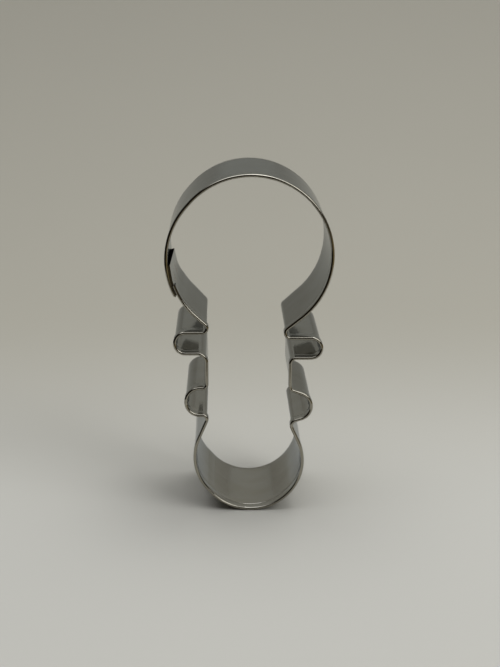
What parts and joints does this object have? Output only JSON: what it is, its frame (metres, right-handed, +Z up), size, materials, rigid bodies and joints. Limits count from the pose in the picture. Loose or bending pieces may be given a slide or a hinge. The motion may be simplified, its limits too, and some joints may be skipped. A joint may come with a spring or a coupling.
{
  "type": "cookie cutter",
  "caption": "Hemmed sheet steel loop in a baby rattle outline with a round head, a bow and a round base, for cutting dough.",
  "frame": {"origin": "on the surface that the cutter stands on, under the middle of its bounding box", "axes": "+Z up the cutter's length from the round base to the round head, +Y towards the cutting edge, -Y towards the hemmed grip edge, +X to the right as seen from the hemmed side"},
  "size_m": [0.0356, 0.0226, 0.0751],
  "materials": {
    "stainless_steel_sheet": "satin cold-rolled sheet",
    "stainless_steel_weld": "dull, heat-tinted"
  },
  "bodies": {
    "root": {"cutter_band": "stainless_steel_sheet", "spot_weld_front": "stainless_steel_weld", "spot_weld_rear": "stainless_steel_weld"}
  },
  "joints": []
}
